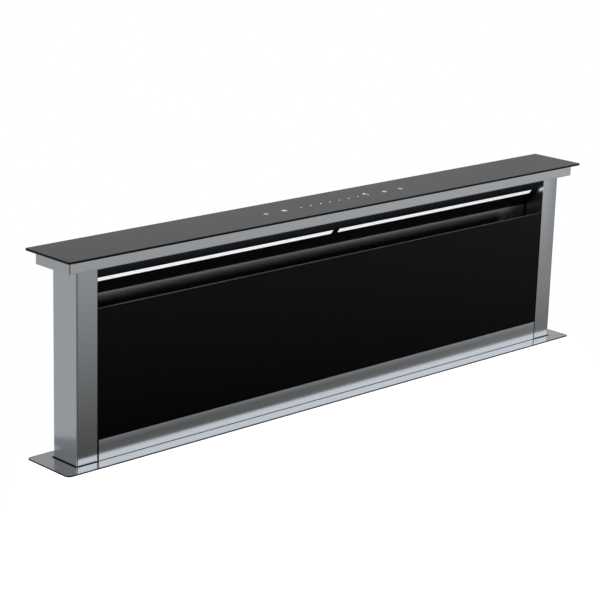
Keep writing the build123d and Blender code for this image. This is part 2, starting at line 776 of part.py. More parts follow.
# ---------------------------------------------------------------- grease filters
# A filter stands behind the carrier on the band's shelf and leans back on the channel wall.
filter_foot_y = carrier_front + carrier_depth + filter_front_gap + filter_thickness / 2
filter_reach = channel_back - filter_gap - filter_foot_y
filter_diagonal = hypot(filter_height, filter_thickness / 2)
filter_lean = asin(filter_reach / filter_diagonal) - atan2(filter_thickness / 2, filter_height)
filter_plane = Plane(
    origin=(0, filter_foot_y, band_top + filter_gap + filter_thickness / 2 * sin(filter_lean)),
    x_dir=(1, 0, 0),
    z_dir=(0, -cos(filter_lean), sin(filter_lean)),
)
filter_width = liner_x - 2 * filter_end_gap
window_width = (filter_width - 2 * filter_border + filter_bar) / filter_columns
window_height = (filter_height - 2 * filter_border + filter_bar) / filter_rows
for side_name, side in sides:
    with BuildPart() as grease_filter:
        filter_middle = (side * liner_x / 2, filter_height / 2)
        with BuildSketch(filter_plane):
            with Locations(filter_middle):
                Rectangle(filter_width, filter_height)
        extrude(amount=filter_thickness / 2, both=True)
        for face in (-1, 1):
            with BuildSketch(filter_plane.offset(face * filter_mesh / 2)):
                with Locations(filter_middle):
                    with GridLocations(window_width, window_height, filter_columns, filter_rows):
                        Rectangle(window_width - filter_bar, window_height - filter_bar)
            extrude(amount=face * filter_thickness, mode=Mode.SUBTRACT)
    save(grease_filter, f"grease_filter_{side_name}")

# ---------------------------------------------------------------- steel band below the front glass
# Its top edge folds back into a shelf that carries the front panel and the filters' feet.
shelf_back = filter_foot_y + filter_thickness / 2 + shelf_lip_gap + carrier_sheet
with BuildPart() as front_band:
    with BuildSketch(Plane.YZ.offset(-panel_half)):
        with BuildLine():
            Polyline(
                (head_front + band_return, skirt_bottom),
                (head_front, skirt_bottom),
                (head_front, band_top),
                (filter_foot_y, band_top),
            )
            offset(amount=carrier_sheet, side=Side.RIGHT, closed=True)
        make_face()
    extrude(amount=2 * panel_half)
    with BuildSketch(Plane.YZ.offset(-liner_x)):
        with BuildLine():
            Polyline(
                (head_front + 2 * carrier_sheet, band_top - carrier_sheet),
                (shelf_back, band_top - carrier_sheet),
                (shelf_back, band_top + shelf_lip),
            )
            offset(amount=carrier_sheet, side=Side.LEFT, closed=True)
        make_face()
    extrude(amount=2 * liner_x)
save(front_band, "front_band")

# ---------------------------------------------------------------- lift-off front panel
with BuildPart() as front_glass:
    with BuildSketch(Plane.XZ.offset(-head_front)):
        with Locations((0, (front_glass_top + front_glass_bottom) / 2)):
            Rectangle(2 * panel_half, front_glass_top - front_glass_bottom)
    extrude(amount=-front_glass_thickness)
    chamfer(front_glass.faces().sort_by(Axis.Y)[0].edges(), glass_bevel)
save(front_glass, "front_glass")

with BuildPart() as glass_carrier:
    with BuildSketch(Plane.XZ.offset(-carrier_front)):
        with Locations((0, (carrier_top + band_top) / 2)):
            Rectangle(2 * carrier_half, carrier_top - band_top)
    extrude(amount=-carrier_depth)
    with BuildSketch(Plane.XZ.offset(-carrier_front - carrier_sheet)):
        with Locations((0, (carrier_top + band_top) / 2)):
            Rectangle(2 * (carrier_half - carrier_sheet), carrier_top - band_top - 2 * carrier_sheet)
    extrude(amount=-carrier_depth, mode=Mode.SUBTRACT)
save(glass_carrier, "glass_carrier")

with BuildPart() as panel_magnets:
    magnet_width = liner_x - carrier_half
    magnet_bottom = band_top + magnet_margin + magnet_height / 2
    magnet_top = carrier_top - magnet_margin - magnet_height / 2
    with BuildSketch(Plane.XZ.offset(-carrier_front - 0.2)):
        with Locations((0, (magnet_bottom + magnet_top) / 2)):
            with GridLocations(2 * carrier_half + magnet_width, magnet_top - magnet_bottom, 2, 2):
                Rectangle(magnet_width, magnet_height)
    extrude(amount=-carrier_depth)
save(panel_magnets, "panel_magnets")

# ---------------------------------------------------------------- blower scroll and its cover
blower_back = -chassis_front
blower_front = blower_back + scroll_depth


def volute(margin):
    """The scroll's outline: three growing quarter turns, the outlet and the tongue."""
    r1 = fan_radius + scroll_clearance + margin
    r2 = r1 + scroll_step
    r3 = r2 + scroll_step
    second = (fan_x, fan_z - scroll_step)
    third = (fan_x + scroll_step, fan_z - scroll_step)
    bottom = (third[0], third[1] - r3)
    outlet_x = fan_x + outlet_reach
    tongue_z = bottom[1] + outlet_height + 2 * margin
    tongue_drop = fan_z - tongue_z
    tongue = (fan_x + sqrt(r1**2 - tongue_drop**2), tongue_z)
    tongue_angle = degrees(atan2(tongue_drop, tongue[0] - fan_x))
    with BuildSketch() as outline:
        with BuildLine():
            CenterArc((fan_x, fan_z), r1, -tongue_angle, 90 + tongue_angle)
            CenterArc(second, r2, 90, 90)
            CenterArc(third, r3, 180, 90)
            Polyline(bottom, (outlet_x, bottom[1]), (outlet_x, tongue_z), tongue)
        make_face()
        tongue_corner = outline.vertices().sort_by_distance((tongue[0], tongue[1], 0))[0]
        fillet(tongue_corner, tongue_radius - margin / 2)
    return outline.sketch


with BuildPart() as blower_scroll:
    with BuildSketch(Plane.XZ.offset(blower_back)):
        add(volute(scroll_sheet))
    extrude(amount=scroll_depth)
    with BuildSketch(Plane.XZ.offset(blower_front - scroll_sheet)):
        add(volute(scroll_lip))
    extrude(amount=scroll_sheet)
    with BuildSketch(Plane.XZ.offset(blower_back + scroll_sheet)):
        add(volute(0.0))
    extrude(amount=scroll_depth, mode=Mode.SUBTRACT)
    outlet_end = Plane.YZ.offset(fan_x + outlet_reach - scroll_sheet)
    outlet_z = fan_z - fan_radius - scroll_clearance - 3 * scroll_step + outlet_height / 2
    outlet_y = chassis_front - (scroll_depth + scroll_sheet) / 2
    with BuildSketch(outlet_end):
        with Locations((outlet_y, outlet_z)):
            Rectangle(scroll_depth - scroll_sheet, outlet_height)
    extrude(amount=2 * scroll_lip, mode=Mode.SUBTRACT)
    with BuildSketch(Plane.XZ.offset(blower_back)):
        with Locations((fan_x, fan_z)):
            Circle(inlet_radius)
    extrude(amount=scroll_sheet, mode=Mode.SUBTRACT)
    with BuildSketch(Plane.YZ.offset(fan_x)):
        with BuildLine():
            mouth = (chassis_front - scroll_sheet / 2, fan_z + inlet_radius + scroll_sheet)
            throat = (chassis_front - inlet_ring_depth, fan_z + inlet_throat_radius + scroll_sheet)
            inner_throat = (chassis_front - inlet_ring_depth, fan_z + inlet_throat_radius)
            inner_mouth = (chassis_front - scroll_sheet / 2, fan_z + inlet_radius)
            TangentArc(throat, mouth, tangent=(1, 0))
            Line(throat, inner_throat)
            TangentArc(inner_throat, inner_mouth, tangent=(1, 0))
            Line(inner_mouth, mouth)
        make_face()
    revolve(axis=Axis((fan_x, 0, fan_z), (0, 1, 0)))
save(blower_scroll, "blower_scroll")

with BuildPart() as blower_cover:
    with BuildSketch(Plane.XZ.offset(blower_front)):
        add(volute(scroll_lip))
    extrude(amount=scroll_sheet)
    with BuildSketch(Plane.XZ.offset(blower_front + scroll_sheet)):
        with Locations((fan_x, fan_z)):
            Circle(cover_dome_radius)
    extrude(amount=cover_dome, taper=cover_dome_taper)
    with BuildSketch(Plane.XZ.offset(blower_front)):
        with Locations((fan_x, fan_z)):
            with PolarLocations(cover_slot_place, cover_slots):
                SlotOverall(cover_slot_length, cover_slot_width)
    extrude(amount=scroll_sheet + cover_dome, mode=Mode.SUBTRACT)
save(blower_cover, "blower_cover")

# ---------------------------------------------------------------- impeller and its motor
fan_inlet = blower_back + scroll_sheet + fan_inlet_gap
fan_length = scroll_depth - scroll_sheet - fan_inlet_gap - fan_cover_gap
fan_disc = fan_inlet + fan_length
fan_dish = fan_disc - fan_dish_depth
fan_axis = Axis((fan_x, 0, fan_z), (0, 1, 0))
dish_floor_radius = fan_dish_radius - fan_dish_taper
blade_outer = fan_radius - blade_thickness
blade_sweep = radians(blade_lead)

with BuildSketch() as blade:
    with BuildLine():
        ThreePointArc(
            (fan_eye_radius, 0),
            (fan_eye_radius * cos(blade_sweep / 4) + blade_bow, fan_eye_radius * sin(blade_sweep / 4)),
            (blade_outer * cos(blade_sweep), blade_outer * sin(blade_sweep)),
        )
        offset(amount=blade_thickness, side=Side.LEFT, closed=True)
    make_face()

with BuildPart() as impeller:
    with BuildSketch(Plane.YZ.offset(fan_x)):
        with BuildLine():
            Polyline(
                (-fan_dish, fan_z),
                (-fan_dish, fan_z + dish_floor_radius),
                (-fan_disc, fan_z + fan_dish_radius),
                (-fan_disc, fan_z + fan_radius),
                (scroll_sheet - fan_disc, fan_z + fan_radius),
                (scroll_sheet - fan_disc, fan_z + fan_dish_radius + scroll_sheet),
                (scroll_sheet - fan_dish, fan_z + dish_floor_radius + scroll_sheet),
                (scroll_sheet - fan_dish, fan_z),
                close=True,
            )
        make_face()
    revolve(axis=fan_axis)
    with BuildSketch(Plane.XZ.offset(fan_inlet)):
        with Locations((fan_x, fan_z)):
            Circle(fan_radius)
            Circle(fan_radius - 3 * fan_ring, mode=Mode.SUBTRACT)
    extrude(amount=fan_ring)
    with BuildSketch(Plane.XZ.offset(fan_inlet + fan_ring / 2)):
        with Locations((fan_x, fan_z)):
            with PolarLocations(0, fan_blades):
                add(blade.sketch)
    extrude(amount=fan_length - fan_ring / 2 - scroll_sheet / 2)
    with BuildSketch(Plane.XZ.offset(fan_dish)):
        with Locations((fan_x, fan_z)):
            Circle(2 * blower_shaft_radius)
    extrude(amount=fan_boss)
    with BuildSketch(Plane.XZ.offset(fan_dish)):
        with Locations((fan_x, fan_z)):
            Circle(blower_shaft_radius)
    extrude(amount=fan_dish_depth)
save(impeller, "impeller")

blower_motor_length = fan_cover_gap + fan_dish_depth - motor_dish_gap
with BuildPart() as blower_motor:
    with BuildSketch(Plane.XZ.offset(blower_front)):
        with Locations((fan_x, fan_z)):
            Circle(blower_motor_radius)
    extrude(amount=-blower_motor_length)
    fillet(blower_motor.faces().sort_by(Axis.Y)[-1].edges(), blower_motor_edge)
    with BuildSketch(Plane.XZ.offset(blower_front)):
        with Locations((fan_x, fan_z)):
            Circle(blower_motor_flange_radius)
    extrude(amount=-blower_motor_flange)
    with BuildSketch(Plane.XZ.offset(blower_front - blower_motor_length)):
        with Locations((fan_x, fan_z)):
            Circle(blower_shaft_radius + running_clearance)
    extrude(amount=fan_dish_depth, mode=Mode.SUBTRACT)
save(blower_motor, "blower_motor")

# ---------------------------------------------------------------- duct outlet and back-draught damper
adaptor_start = fan_x + outlet_reach
adaptor_end = adaptor_start + adaptor_length
collar_end = adaptor_end + collar_length
adaptor_middle = (outlet_y, outlet_z)
collar_y = chassis_front - duct_radius - collar_bead - collar_chassis_gap
collar_middle = (collar_y, outlet_z)


def outlet_section(margin):
    """The scroll's rectangular mouth, widened on each side by the margin."""
    with Locations(adaptor_middle):
        RectangleRounded(
            scroll_depth - scroll_sheet + 2 * margin,
            outlet_height + 2 * margin,
            outlet_corner + margin,
        )


with BuildPart() as outlet_adaptor:
    for margin, mode in ((scroll_sheet, Mode.ADD), (0.0, Mode.SUBTRACT)):
        with BuildSketch(Plane.YZ.offset(adaptor_start)):
            outlet_section(margin)
        with BuildSketch(Plane.YZ.offset(adaptor_end)):
            with Locations(collar_middle):
                Circle(duct_radius - collar_wall + margin)
        loft(mode=mode)
    with BuildSketch(Plane.YZ.offset(adaptor_start)):
        with Locations(adaptor_middle):
            Rectangle(scroll_depth + scroll_sheet, outlet_height + 2 * scroll_lip)
            RectangleRounded(scroll_depth - scroll_sheet, outlet_height, outlet_corner, mode=Mode.SUBTRACT)
    extrude(amount=scroll_sheet)
save(outlet_adaptor, "outlet_adaptor")

damper_x = adaptor_end + damper_place
with BuildPart() as outlet_collar:
    with BuildSketch(Plane.YZ.offset(adaptor_end)):
        with Locations(collar_middle):
            Circle(duct_radius)
            Circle(duct_radius - collar_wall, mode=Mode.SUBTRACT)
    extrude(amount=collar_length)
    with BuildSketch(Plane.YZ.offset(adaptor_end)):
        with Locations(collar_middle):
            Circle(duct_radius + collar_bead)
            Circle(duct_radius - collar_wall / 2, mode=Mode.SUBTRACT)
    extrude(amount=collar_bead)
    with BuildSketch(Plane.XY.offset(outlet_z - duct_radius + collar_wall / 2)):
        with Locations((damper_x, collar_y)):
            Circle(damper_pin_radius)
    extrude(amount=2 * duct_radius - collar_wall)
save(outlet_collar, "outlet_collar")

barrel_low = damper_rear_barrel / 2 + damper_barrel_gap
barrel_high = barrel_low + damper_front_barrels
barrel_bands = {
    "front": ((-barrel_high, -barrel_low), (barrel_low, barrel_high)),
    "rear": ((-damper_rear_barrel / 2, damper_rear_barrel / 2),),
}
for flap_name, side in (("front", -1), ("rear", 1)):
    with BuildPart() as damper_flap:
        straight_edge = collar_y + side * (damper_barrel_radius + damper_middle_gap)
        with BuildSketch(Plane.YZ.offset(damper_x - damper_thickness / 2)):
            with Locations(collar_middle):
                Circle(duct_radius - collar_wall - damper_clearance)
            with Locations((straight_edge - side * duct_radius, outlet_z)):
                Rectangle(2 * duct_radius, 2 * duct_radius, mode=Mode.SUBTRACT)
            for low, high in barrel_bands[flap_name]:
                with Locations((collar_y + side * 1.5 * damper_barrel_radius, outlet_z + (low + high) / 2)):
                    Rectangle(damper_barrel_radius * 2, high - low)
        extrude(amount=damper_thickness)
        for low, high in barrel_bands[flap_name]:
            with BuildSketch(Plane.XY.offset(outlet_z + low)):
                with Locations((damper_x, collar_y)):
                    Circle(damper_barrel_radius)
            extrude(amount=high - low)
        with Locations((damper_x, collar_y, outlet_z + duct_radius)):
            Hole(damper_pin_radius + damper_play)
    save(damper_flap, f"damper_flap_{flap_name}")

# ---------------------------------------------------------------- control box on the chassis
control_bottom = control_top - control_height
control_middle = (control_x, (control_top + control_bottom) / 2)
control_post_spacing = (control_width - 2 * control_post_inset, control_height - 2 * control_post_inset)
with BuildPart() as control_box:
    with BuildSketch(Plane.XZ.offset(blower_back)):
        with Locations(control_middle):
            RectangleRounded(control_width, control_height, control_corner)
    extrude(amount=control_depth)
    with BuildSketch(Plane.XZ.offset(blower_back + control_wall)):
        with Locations(control_middle):
            RectangleRounded(
                control_width - 2 * control_wall,
                control_height - 2 * control_wall,
                control_corner - control_wall,
            )
    extrude(amount=control_depth, mode=Mode.SUBTRACT)
    with BuildSketch(Plane.XZ.offset(blower_back + control_wall)):
        with Locations(control_middle):
            with GridLocations(*control_post_spacing, 2, 2):
                Circle(control_post_radius)
    extrude(amount=control_depth - control_wall)
save(control_box, "control_box")

with BuildPart() as control_box_lid:
    with BuildSketch(Plane.XZ.offset(blower_back + control_depth)):
        with Locations(control_middle):
            RectangleRounded(control_width, control_height, control_corner)
    extrude(amount=control_wall)
    chamfer(control_box_lid.faces().sort_by(Axis.Y)[0].edges(), control_lid_edge)
save(control_box_lid, "control_box_lid")

gland_y = chassis_front - control_depth / 2
with BuildPart() as cable_gland:
    with BuildSketch(Plane.XY.offset(control_bottom)):
        with Locations((control_x, gland_y)):
            RegularPolygon(gland_nut_radius, 6)
    extrude(amount=-gland_nut)
    with BuildSketch(Plane.XY.offset(control_bottom - gland_nut)):
        with Locations((control_x, gland_y)):
            Circle(gland_dome_radius)
    extrude(amount=-gland_dome)
    fillet(cable_gland.faces().sort_by(Axis.Z)[0].edges(), gland_edge)
    with Locations((control_x, gland_y, control_bottom)):
        Hole(gland_bore)
save(cable_gland, "cable_gland")

# ---------------------------------------------------------------- side brackets and screws
bracket_x = chassis_width / 2 + side_bracket_reach
bracket_middle_z = side_bracket_top - side_bracket_height / 2
for side_name, side in sides:
    with BuildPart() as fixing_bracket:
        with BuildSketch(Plane.XY.offset(side_bracket_top - side_bracket_height)):
            with BuildLine():
                Polyline(
                    (side * (bracket_x - side_bracket_foot), chassis_front),
                    (side * bracket_x, chassis_front),
                    (side * bracket_x, chassis_front - side_bracket_depth),
                )
                offset(amount=side_bracket_sheet, side=Side.RIGHT if side > 0 else Side.LEFT, closed=True)
            make_face()
        extrude(amount=side_bracket_height)
        with BuildSketch(Plane.YZ.offset(side * bracket_x)):
            with Locations((chassis_front - side_bracket_depth / 2, bracket_middle_z)):
                with GridLocations(0, side_hole_spacing, 1, 2):
                    Circle(side_hole_radius)
        extrude(amount=-side * side_bracket_sheet, mode=Mode.SUBTRACT)
    save(fixing_bracket, f"fixing_bracket_{side_name}")

with BuildPart() as panel_screws:
    cover_face = blower_front + scroll_sheet
    lip_middle = fan_radius + scroll_clearance + scroll_lip / 2
    rim_arcs = (
        (0, fan_x, fan_z),
        (1, fan_x, fan_z - scroll_step),
        (2, fan_x + scroll_step, fan_z - scroll_step),
    )
    with BuildSketch(Plane.XZ.offset(cover_face)):
        for step, centre_x, centre_z in rim_arcs:
            with Locations((centre_x, centre_z)):
                with PolarLocations(lip_middle + step * scroll_step, 2, 90 * step + 20, 50, endpoint=True):
                    Circle(screw_head_radius)
    extrude(amount=screw_head_height)
    with BuildSketch(Plane.XZ.offset(blower_back + control_depth + control_wall)):
        with Locations(control_middle):
            with GridLocations(*control_post_spacing, 2, 2):
                Circle(screw_head_radius)
    extrude(amount=screw_head_height)
    with BuildSketch(Plane.XZ.offset(blower_back + side_bracket_sheet)):
        with Locations((0, bracket_middle_z)):
            with GridLocations(chassis_width - 2 * side_bracket_inset, side_hole_spacing, 2, 2):
                Circle(screw_head_radius)
    extrude(amount=screw_head_height)
    # rivets that join the back to the ends
    with BuildSketch(Plane.XZ.offset(-chassis_depth / 2)):
        with Locations((0, chassis_middle_z)):
            with GridLocations(2 * rivet_x, rivet_spacing, 2, rivet_rows):
                Circle(rivet_radius)
    extrude(amount=-rivet_height)
save(panel_screws, "panel_screws")
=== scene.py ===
"""Looks, light and camera for the downdraft vent. Sizes are in metres, in the frame of the model."""

from math import cos, pi, sin

import bmesh
import bpy
from mathutils import Matrix, Vector


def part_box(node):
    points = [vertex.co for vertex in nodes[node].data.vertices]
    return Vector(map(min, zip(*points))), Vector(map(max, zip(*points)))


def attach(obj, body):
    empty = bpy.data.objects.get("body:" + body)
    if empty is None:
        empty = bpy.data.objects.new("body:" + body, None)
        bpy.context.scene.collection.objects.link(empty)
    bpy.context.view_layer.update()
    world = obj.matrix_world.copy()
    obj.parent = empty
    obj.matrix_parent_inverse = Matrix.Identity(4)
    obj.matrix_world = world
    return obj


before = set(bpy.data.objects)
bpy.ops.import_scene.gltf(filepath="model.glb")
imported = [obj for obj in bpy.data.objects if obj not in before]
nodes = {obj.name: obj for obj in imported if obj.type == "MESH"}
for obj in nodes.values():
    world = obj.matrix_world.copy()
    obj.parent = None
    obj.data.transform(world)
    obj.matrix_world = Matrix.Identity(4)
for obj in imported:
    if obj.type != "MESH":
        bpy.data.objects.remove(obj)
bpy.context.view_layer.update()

MM = 0.001
# The lower edge of the strip lights
LIGHTS_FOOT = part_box("led_diffuser_left")[0].z


# ---------------------------------------------------------------- camera
def make_camera():
    """The photograph's view: a long lens from the front left, a little above the lid. Its values
    were fitted to the edges in the photograph."""
    yaw, pitch, roll = 0.7687, 0.27648, 0.0297
    place = Vector((-2.2893, -2.2967, 1.0806))
    forward = Vector((sin(yaw) * cos(pitch), cos(yaw) * cos(pitch), -sin(pitch)))
    level_right = Vector((cos(yaw), -sin(yaw), 0))
    level_up = level_right.cross(forward)
    right = level_right * cos(roll) + level_up * sin(roll)
    up = level_up * cos(roll) - level_right * sin(roll)
    data = bpy.data.cameras.new("photo_camera")
    data.sensor_width = 36.0
    data.lens = 119.63
    camera = bpy.data.objects.new("photo_camera", data)
    bpy.context.scene.collection.objects.link(camera)
    turn = Matrix((right, up, -forward)).transposed().to_4x4()
    camera.matrix_world = Matrix.Translation(place) @ turn
    bpy.context.scene.camera = camera


# ---------------------------------------------------------------- node helpers
def grey(value):
    """A colour with as much red as green and blue."""
    return (value, value, value)


class NodeTree:
    """Short calls that add nodes to one tree."""

    def __init__(self, tree):
        self.tree = tree

    def feed(self, target, value):
        """Links a socket to the target, or sets a plain number, vector or colour on it."""
        if isinstance(value, bpy.types.NodeSocket):
            self.tree.links.new(value, target)
        elif target.type == "RGBA":
            target.default_value = (*value, 1)
        else:
            target.default_value = value

    def node(self, kind, **values):
        """A new node. Each value feeds the input of its name, or is the node's own setting."""
        made = self.tree.nodes.new(kind)
        for key, value in values.items():
            name = key.replace("_", " ")
            if name in made.inputs:
                self.feed(made.inputs[name], value)
            else:
                setattr(made, key, value)
        return made

    def maths(self, operation, *values):
        """The operation on sockets and plain numbers."""
        made = self.node("ShaderNodeMath", operation=operation)
        for target, value in zip(made.inputs, values):
            self.feed(target, value)
        return made.outputs["Value"]

    def product(self, first, *others):
        for other in others:
            first = self.maths("MULTIPLY", first, other)
        return first

    def parts(self, vector):
        """The vector's X, Y and Z."""
        return self.node("ShaderNodeSeparateXYZ", Vector=vector).outputs

    def span(self, source, start, end, at_start=0.0, at_end=1.0):
        """An amount that is at_start where the source is start, and at_end where it is end."""
        made = self.node(
            "ShaderNodeMapRange",
            Value=source,
            From_Min=start,
            From_Max=end,
            To_Min=at_start,
            To_Max=at_end,
        )
        return made.outputs["Result"]

    def blend(self, amount, under, over):
        """One colour laid over another by the amount."""
        made = self.node("ShaderNodeMix", data_type="RGBA", Factor=amount, A=under, B=over)
        return made.outputs["Result"]

    def ramp(self, source, stops):
        """A colour for each source value, through the (place, colour) stops."""
        made = self.node("ShaderNodeValToRGB", Fac=source)
        points = made.color_ramp.elements
        while len(points) < len(stops):
            points.new(0.5)
        for point, (place, colour) in zip(points, stops):
            point.position = place
            point.color = (*colour, 1)
        return made.outputs["Color"]


class Surface(NodeTree):
    """A material with one Principled shader, and short calls for what feeds it."""

    def __init__(self, name, **values):
        self.material = bpy.data.materials.new(name)
        self.material.use_nodes = True
        super().__init__(self.material.node_tree)
        self.shader = self.tree.nodes["Principled BSDF"]
        for key, value in values.items():
            self.set(key.replace("_", " "), value)

    def set(self, socket, value):
        self.feed(self.shader.inputs[socket], value)

    def place(self):
        """The point on the object, in metres."""
        return self.node("ShaderNodeTexCoord").outputs["Object"]

    def scaled_place(self, scale):
        """The point, stretched by one number or by one for each axis."""
        if not isinstance(scale, tuple):
            scale = (scale, scale, scale)
        return self.node("ShaderNodeMapping", Vector=self.place(), Scale=scale).outputs["Vector"]

    def along(self, axis):
        """The point's own coordinate on the object, in metres."""
        return self.parts(self.place())[axis]

    def noise(self, scale, detail=3.0):
        """Noise with this many grains to the metre, on all axes or on each of them."""
        where = self.scaled_place(scale)
        return self.node("ShaderNodeTexNoise", Vector=where, Scale=1.0, Detail=detail).outputs["Fac"]

    def facing(self):
        """How squarely the face looks along each axis, either way, from 0 to 1."""
        normal = self.parts(self.node("ShaderNodeNewGeometry").outputs["True Normal"])
        return {axis: self.maths("ABSOLUTE", normal[axis]) for axis in "XYZ"}

    def tint(self, source, dark, light, socket="Base Color"):
        """A colour from dark to light, with a plain stretch at each end of the source."""
        self.set(socket, self.ramp(source, ((0.3, dark), (0.7, light))))

    def cover(self, amount, shade):
        """Lays the shade over the colour that the surface has so far."""
        under = self.shader.inputs["Base Color"].links[0].from_socket
        self.set("Base Color", self.blend(amount, under, shade))

    def rough(self, source, low, high):
        self.set("Roughness", self.span(source, 0.0, 1.0, low, high))

    def bump(self, source, height):
        """Relief of this height, added to the relief that the surface has so far."""
        relief = self.node("ShaderNodeBump", Distance=height, Height=source)
        for under in self.shader.inputs["Normal"].links:
            self.feed(relief.inputs["Normal"], under.from_socket)
        self.set("Normal", relief.outputs["Normal"])


# ---------------------------------------------------------------- steel
# Red, green and blue as shares of a steel's tone, in its darker and its lighter streaks
STEEL_DARK = (0.94, 0.98, 1.02)
STEEL_LIGHT = (0.965, 1.005, 1.05)
# How squarely a face looks along an axis, where a shade begins to change and where it is done
FOLD_BEGINS = (0.01, 0.08)
FOLD_ENDS = (0.35, 0.62)
LOOKS_ALONG = (0.5, 0.8)
LOOKS_SQUARELY = (0.8, 0.98)
# The colours of painted shade, for the places that are darker than the rest
FOLD_PAINTED_SHADE = (0.14, 0.147, 0.161)
COLUMN_PAINTED_SHADE = (0.1, 0.104, 0.109)
TRAY_END_PAINTED_SHADE = (0.2, 0.205, 0.215)
LINER_PAINTED_SHADE = (0.21, 0.22, 0.23)
EDGE_PAINTED_SHADE = grey(0.02)


def streaks(grain, along, across):
    """The scale of a noise that is drawn out along the grain's axis."""
    return tuple(along if axis == grain else across for axis in "XYZ")


def brushed_steel(name, grain, tone=0.74, roughness=0.17, dark_edge=None, dark_end=None):
    """Stainless steel brushed along the grain's axis. An upright fold has painted shade where it
    turns away from the front or back. So have the cut edges of a sheet that is thin along dark_edge,
    and the faces that look along dark_end."""
    surface = Surface(name, Metallic=1.0, Anisotropic=0.35)
    lines = surface.noise(streaks(grain, 6, 1500), detail=2)
    drift = surface.noise(streaks(grain, 1.5, 90), detail=2)
    across = "Z" if grain == "X" else "X"
    surface.set("Tangent", surface.node("ShaderNodeCombineXYZ", **{across: 1.0}).outputs["Vector"])
    dark, light = [tuple(tone * share for share in cool) for cool in (STEEL_DARK, STEEL_LIGHT)]
    surface.tint(drift, dark, light)
    facing = surface.facing()
    begins = surface.span(facing["X"], *FOLD_BEGINS)
    ends = surface.span(facing["X"], *FOLD_ENDS, 1.0, 0.0)
    # painted shade on the upright folds
    surface.cover(surface.product(begins, ends, facing["Y"]), FOLD_PAINTED_SHADE)
    if dark_edge:
        # painted shade on the cut edges of a thin sheet
        surface.cover(surface.span(facing[dark_edge], *LOOKS_SQUARELY, 1.0, 0.0), EDGE_PAINTED_SHADE)
    if dark_end:
        # painted shade on the faces that look along dark_end
        surface.cover(surface.span(facing[dark_end], *LOOKS_ALONG), EDGE_PAINTED_SHADE)
    surface.rough(lines, roughness - 0.03, roughness + 0.05)
    surface.bump(lines, 0.002 * MM)
    return surface


def shade_seam(surface, near, far):
    """Painted shade on the face beside an upright seam: full at the near X, and none at the far X.
    """
    surface.cover(surface.span(surface.along("X"), near, far, 1.0, 0.0), EDGE_PAINTED_SHADE)


def left_column_steel(name, inner):
    """The left column's steel, with painted shade along the seam beside the intake."""
    surface = brushed_steel(name, "Z")
    # painted shade beside the seam
    shade_seam(surface, inner - 0.4 * MM, inner - 0.6 * MM)
    return surface


def right_column_steel(name, inner, outer, top):
    """The right column's steel. Painted shade makes it brighter toward its top, and its outer half
    less so.
    """
    surface = brushed_steel(name, "Z", 0.9)
    height = surface.along("Z")
    # painted shade, less of it toward the top
    surface.cover(surface.span(height, top - 130 * MM, top, 0.2, 0.0), COLUMN_PAINTED_SHADE)
    # painted shade over the outer half of the upper part
    upper = surface.span(height, top - 190 * MM, top - 10 * MM)
    outward = surface.span(surface.along("X"), inner + 8 * MM, outer, 0.0, 0.42)
    surface.cover(surface.product(upper, outward), COLUMN_PAINTED_SHADE)
    return surface


def tray_steel(name):
    """The tray's steel, brighter along its long sides than on its ends, which have painted shade."""
    surface = brushed_steel(name, "X", 0.88)
    ends = surface.span(surface.facing()["X"], *LOOKS_ALONG, 0.0, 0.26)
    # painted shade on the ends
    surface.cover(ends, TRAY_END_PAINTED_SHADE)
    return surface


def flange_steel(name, column_low, column_high):
    """The flange's steel, with a black band of painted shade along the front and back of each
    column.
    """
    # painted shade on its cut edges
    surface = brushed_steel(name, "X", dark_edge="Z")
    either_side = surface.maths("ABSOLUTE", surface.along("X"))
    front_or_back = surface.maths("ABSOLUTE", surface.along("Y"))
    edge = column_high.y + 3.5 * MM
    inner = surface.span(either_side, column_low.x - 0.2 * MM, column_low.x)
    outer = surface.span(either_side, column_high.x, column_high.x + 0.4 * MM, 1.0, 0.0)
    gap_shade = surface.span(front_or_back, edge, edge + 0.4 * MM, 1.0, 0.0)
    # painted shade for the gap at the foot of each column
    surface.cover(surface.product(inner, outer, gap_shade), grey(0.01))
    return surface


def band_steel(name, top, glass_end):
    """The band's steel. Its face leans back a little toward its top edge, and painted shade darkens
    its end faces and the seam under the left end of the front glass."""
    surface = brushed_steel(name, "X", dark_end="X")
    crown = top - 14.7 * MM
    lean = -1.8  # metres of relief for each square metre over the crown
    over = surface.maths("MAXIMUM", surface.maths("SUBTRACT", surface.along("Z"), crown), 0.0)
    surface.bump(surface.product(over, over), lean)
    # painted shade beside the seam
    shade_seam(surface, glass_end + 0.6 * MM, glass_end + 0.8 * MM)
    return surface


def wall_steel(name, glass_top, end):
    """The back wall of the intake, under the lights above it, with painted shade that darkens it
    downward, less so near its right end, where it mirrors the liner."""
    surface = brushed_steel(name, "X", 0.95, 0.23)
    fade = surface.span(surface.along("Z"), glass_top - 7 * MM, glass_top + 9 * MM, 0.9, 0.0)
    inner = surface.span(surface.along("X"), end - 80 * MM, end - 66 * MM, 1.0, 0.1)
    # painted shade, deeper toward the bottom
    surface.cover(surface.product(fade, inner), grey(0.03))
    return surface


def liner_steel(name, wall_front):
    """The liners at the ends of the intake, with painted shade below the lights, and black painted
    shade in the joint with the back wall."""
    # painted shade on its cut edges
    surface = brushed_steel(name, "Z", 0.85, 0.2, dark_edge="X")
    surface.set("Metallic", 0.994)  # the rest is diffuse, and shows the strip light beside it
    shade_up_to = LIGHTS_FOOT - 1.2 * MM
    painted_shade_below = surface.span(surface.along("Z"), shade_up_to, shade_up_to + 8 * MM, 1.0, 0.0)
    # painted shade below the lights
    surface.cover(painted_shade_below, LINER_PAINTED_SHADE)
    joint = surface.span(surface.along("Y"), wall_front - 4 * MM, wall_front - 2.8 * MM)
    # painted shade in the corner with the back wall
    surface.cover(joint, grey(0.004))
    return surface


